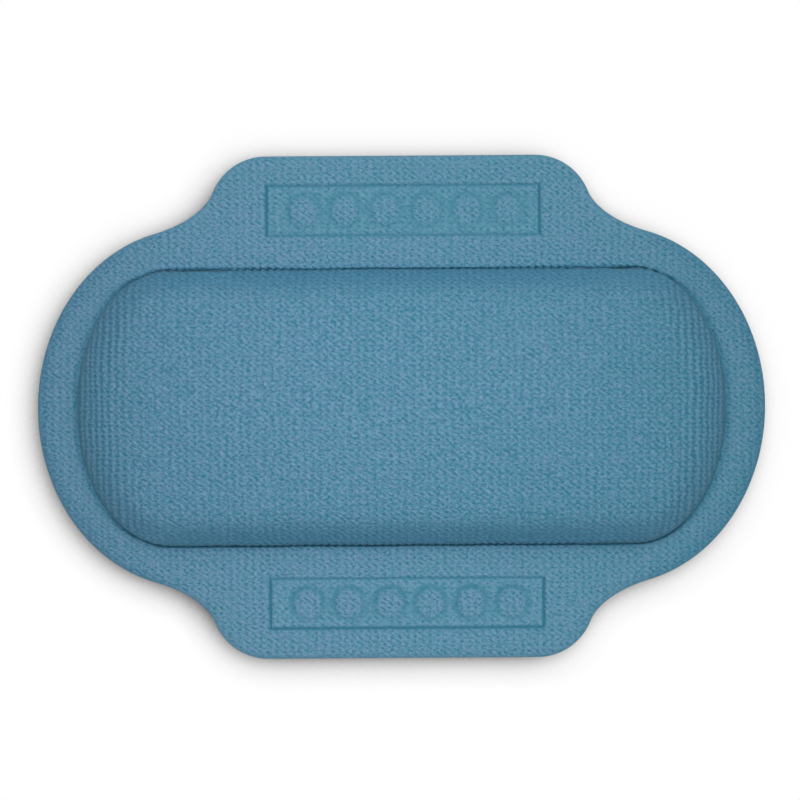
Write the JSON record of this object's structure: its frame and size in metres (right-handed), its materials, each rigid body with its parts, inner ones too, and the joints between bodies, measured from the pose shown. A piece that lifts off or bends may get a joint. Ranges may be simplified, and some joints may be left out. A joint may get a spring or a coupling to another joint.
{
  "type": "bath pillow",
  "caption": "Padded bath pillow: embossed foam sheet with a raised oblong dome between two fold-over tabs that carry suction cups for the tub wall.",
  "frame": {"origin": "centre of the outline, in the plane of the suction cup rims that the pillow lies on", "axes": "+X along the pillow's length, +Y towards the upper tab, +Z out of the embossed face"},
  "size_m": [0.33, 0.228, 0.0406],
  "materials": {
    "front_vinyl": "satin",
    "back_vinyl": "matte",
    "core_foam": "matte",
    "clear_vinyl": "gloss"
  },
  "bodies": {
    "pillow": {"front_cover_centre": "front_vinyl", "back_cover_centre": "back_vinyl", "foam_core": "core_foam"},
    "upper_tab": {"front_cover_upper_tab": "front_vinyl", "back_cover_upper_tab": "back_vinyl", "upper_carrier_strip": "clear_vinyl"},
    "lower_tab": {"front_cover_lower_tab": "front_vinyl", "back_cover_lower_tab": "back_vinyl", "lower_carrier_strip": "clear_vinyl"},
    "upper_suction_1": {"upper_cup_1": "clear_vinyl"},
    "upper_suction_2": {"upper_cup_2": "clear_vinyl"},
    "upper_suction_3": {"upper_cup_3": "clear_vinyl"},
    "upper_suction_4": {"upper_cup_4": "clear_vinyl"},
    "upper_suction_5": {"upper_cup_5": "clear_vinyl"},
    "upper_suction_6": {"upper_cup_6": "clear_vinyl"},
    "lower_suction_1": {"lower_cup_1": "clear_vinyl"},
    "lower_suction_2": {"lower_cup_2": "clear_vinyl"},
    "lower_suction_3": {"lower_cup_3": "clear_vinyl"},
    "lower_suction_4": {"lower_cup_4": "clear_vinyl"},
    "lower_suction_5": {"lower_cup_5": "clear_vinyl"},
    "lower_suction_6": {"lower_cup_6": "clear_vinyl"}
  },
  "joints": [
    {"name": "upper_tab_fold", "type": "hinge", "parent": "pillow", "child": "upper_tab", "pos_m": [0, 0.06475, 0.00945], "axis": [1, 0, 0], "range_deg": [-60, 40], "stiffness_Nm_per_rad": 0.2},
    {"name": "lower_tab_fold", "type": "hinge", "parent": "pillow", "child": "lower_tab", "pos_m": [0, -0.06475, 0.00945], "axis": [-1, 0, 0], "range_deg": [-60, 40], "stiffness_Nm_per_rad": 0.2},
    {"name": "upper_cup_1_press", "type": "slide", "parent": "upper_tab", "child": "upper_suction_1", "axis": [0, 0, 1], "range_m": [0, 0.002], "stiffness_N_per_m": 500, "deforming": ["upper_cup_1"]},
    {"name": "upper_cup_2_press", "type": "slide", "parent": "upper_tab", "child": "upper_suction_2", "axis": [0, 0, 1], "range_m": [0, 0.002], "stiffness_N_per_m": 500, "deforming": ["upper_cup_2"]},
    {"name": "upper_cup_3_press", "type": "slide", "parent": "upper_tab", "child": "upper_suction_3", "axis": [0, 0, 1], "range_m": [0, 0.002], "stiffness_N_per_m": 500, "deforming": ["upper_cup_3"]},
    {"name": "upper_cup_4_press", "type": "slide", "parent": "upper_tab", "child": "upper_suction_4", "axis": [0, 0, 1], "range_m": [0, 0.002], "stiffness_N_per_m": 500, "deforming": ["upper_cup_4"]},
    {"name": "upper_cup_5_press", "type": "slide", "parent": "upper_tab", "child": "upper_suction_5", "axis": [0, 0, 1], "range_m": [0, 0.002], "stiffness_N_per_m": 500, "deforming": ["upper_cup_5"]},
    {"name": "upper_cup_6_press", "type": "slide", "parent": "upper_tab", "child": "upper_suction_6", "axis": [0, 0, 1], "range_m": [0, 0.002], "stiffness_N_per_m": 500, "deforming": ["upper_cup_6"]},
    {"name": "lower_cup_1_press", "type": "slide", "parent": "lower_tab", "child": "lower_suction_1", "axis": [0, 0, 1], "range_m": [0, 0.002], "stiffness_N_per_m": 500, "deforming": ["lower_cup_1"]},
    {"name": "lower_cup_2_press", "type": "slide", "parent": "lower_tab", "child": "lower_suction_2", "axis": [0, 0, 1], "range_m": [0, 0.002], "stiffness_N_per_m": 500, "deforming": ["lower_cup_2"]},
    {"name": "lower_cup_3_press", "type": "slide", "parent": "lower_tab", "child": "lower_suction_3", "axis": [0, 0, 1], "range_m": [0, 0.002], "stiffness_N_per_m": 500, "deforming": ["lower_cup_3"]},
    {"name": "lower_cup_4_press", "type": "slide", "parent": "lower_tab", "child": "lower_suction_4", "axis": [0, 0, 1], "range_m": [0, 0.002], "stiffness_N_per_m": 500, "deforming": ["lower_cup_4"]},
    {"name": "lower_cup_5_press", "type": "slide", "parent": "lower_tab", "child": "lower_suction_5", "axis": [0, 0, 1], "range_m": [0, 0.002], "stiffness_N_per_m": 500, "deforming": ["lower_cup_5"]},
    {"name": "lower_cup_6_press", "type": "slide", "parent": "lower_tab", "child": "lower_suction_6", "axis": [0, 0, 1], "range_m": [0, 0.002], "stiffness_N_per_m": 500, "deforming": ["lower_cup_6"]}
  ]
}
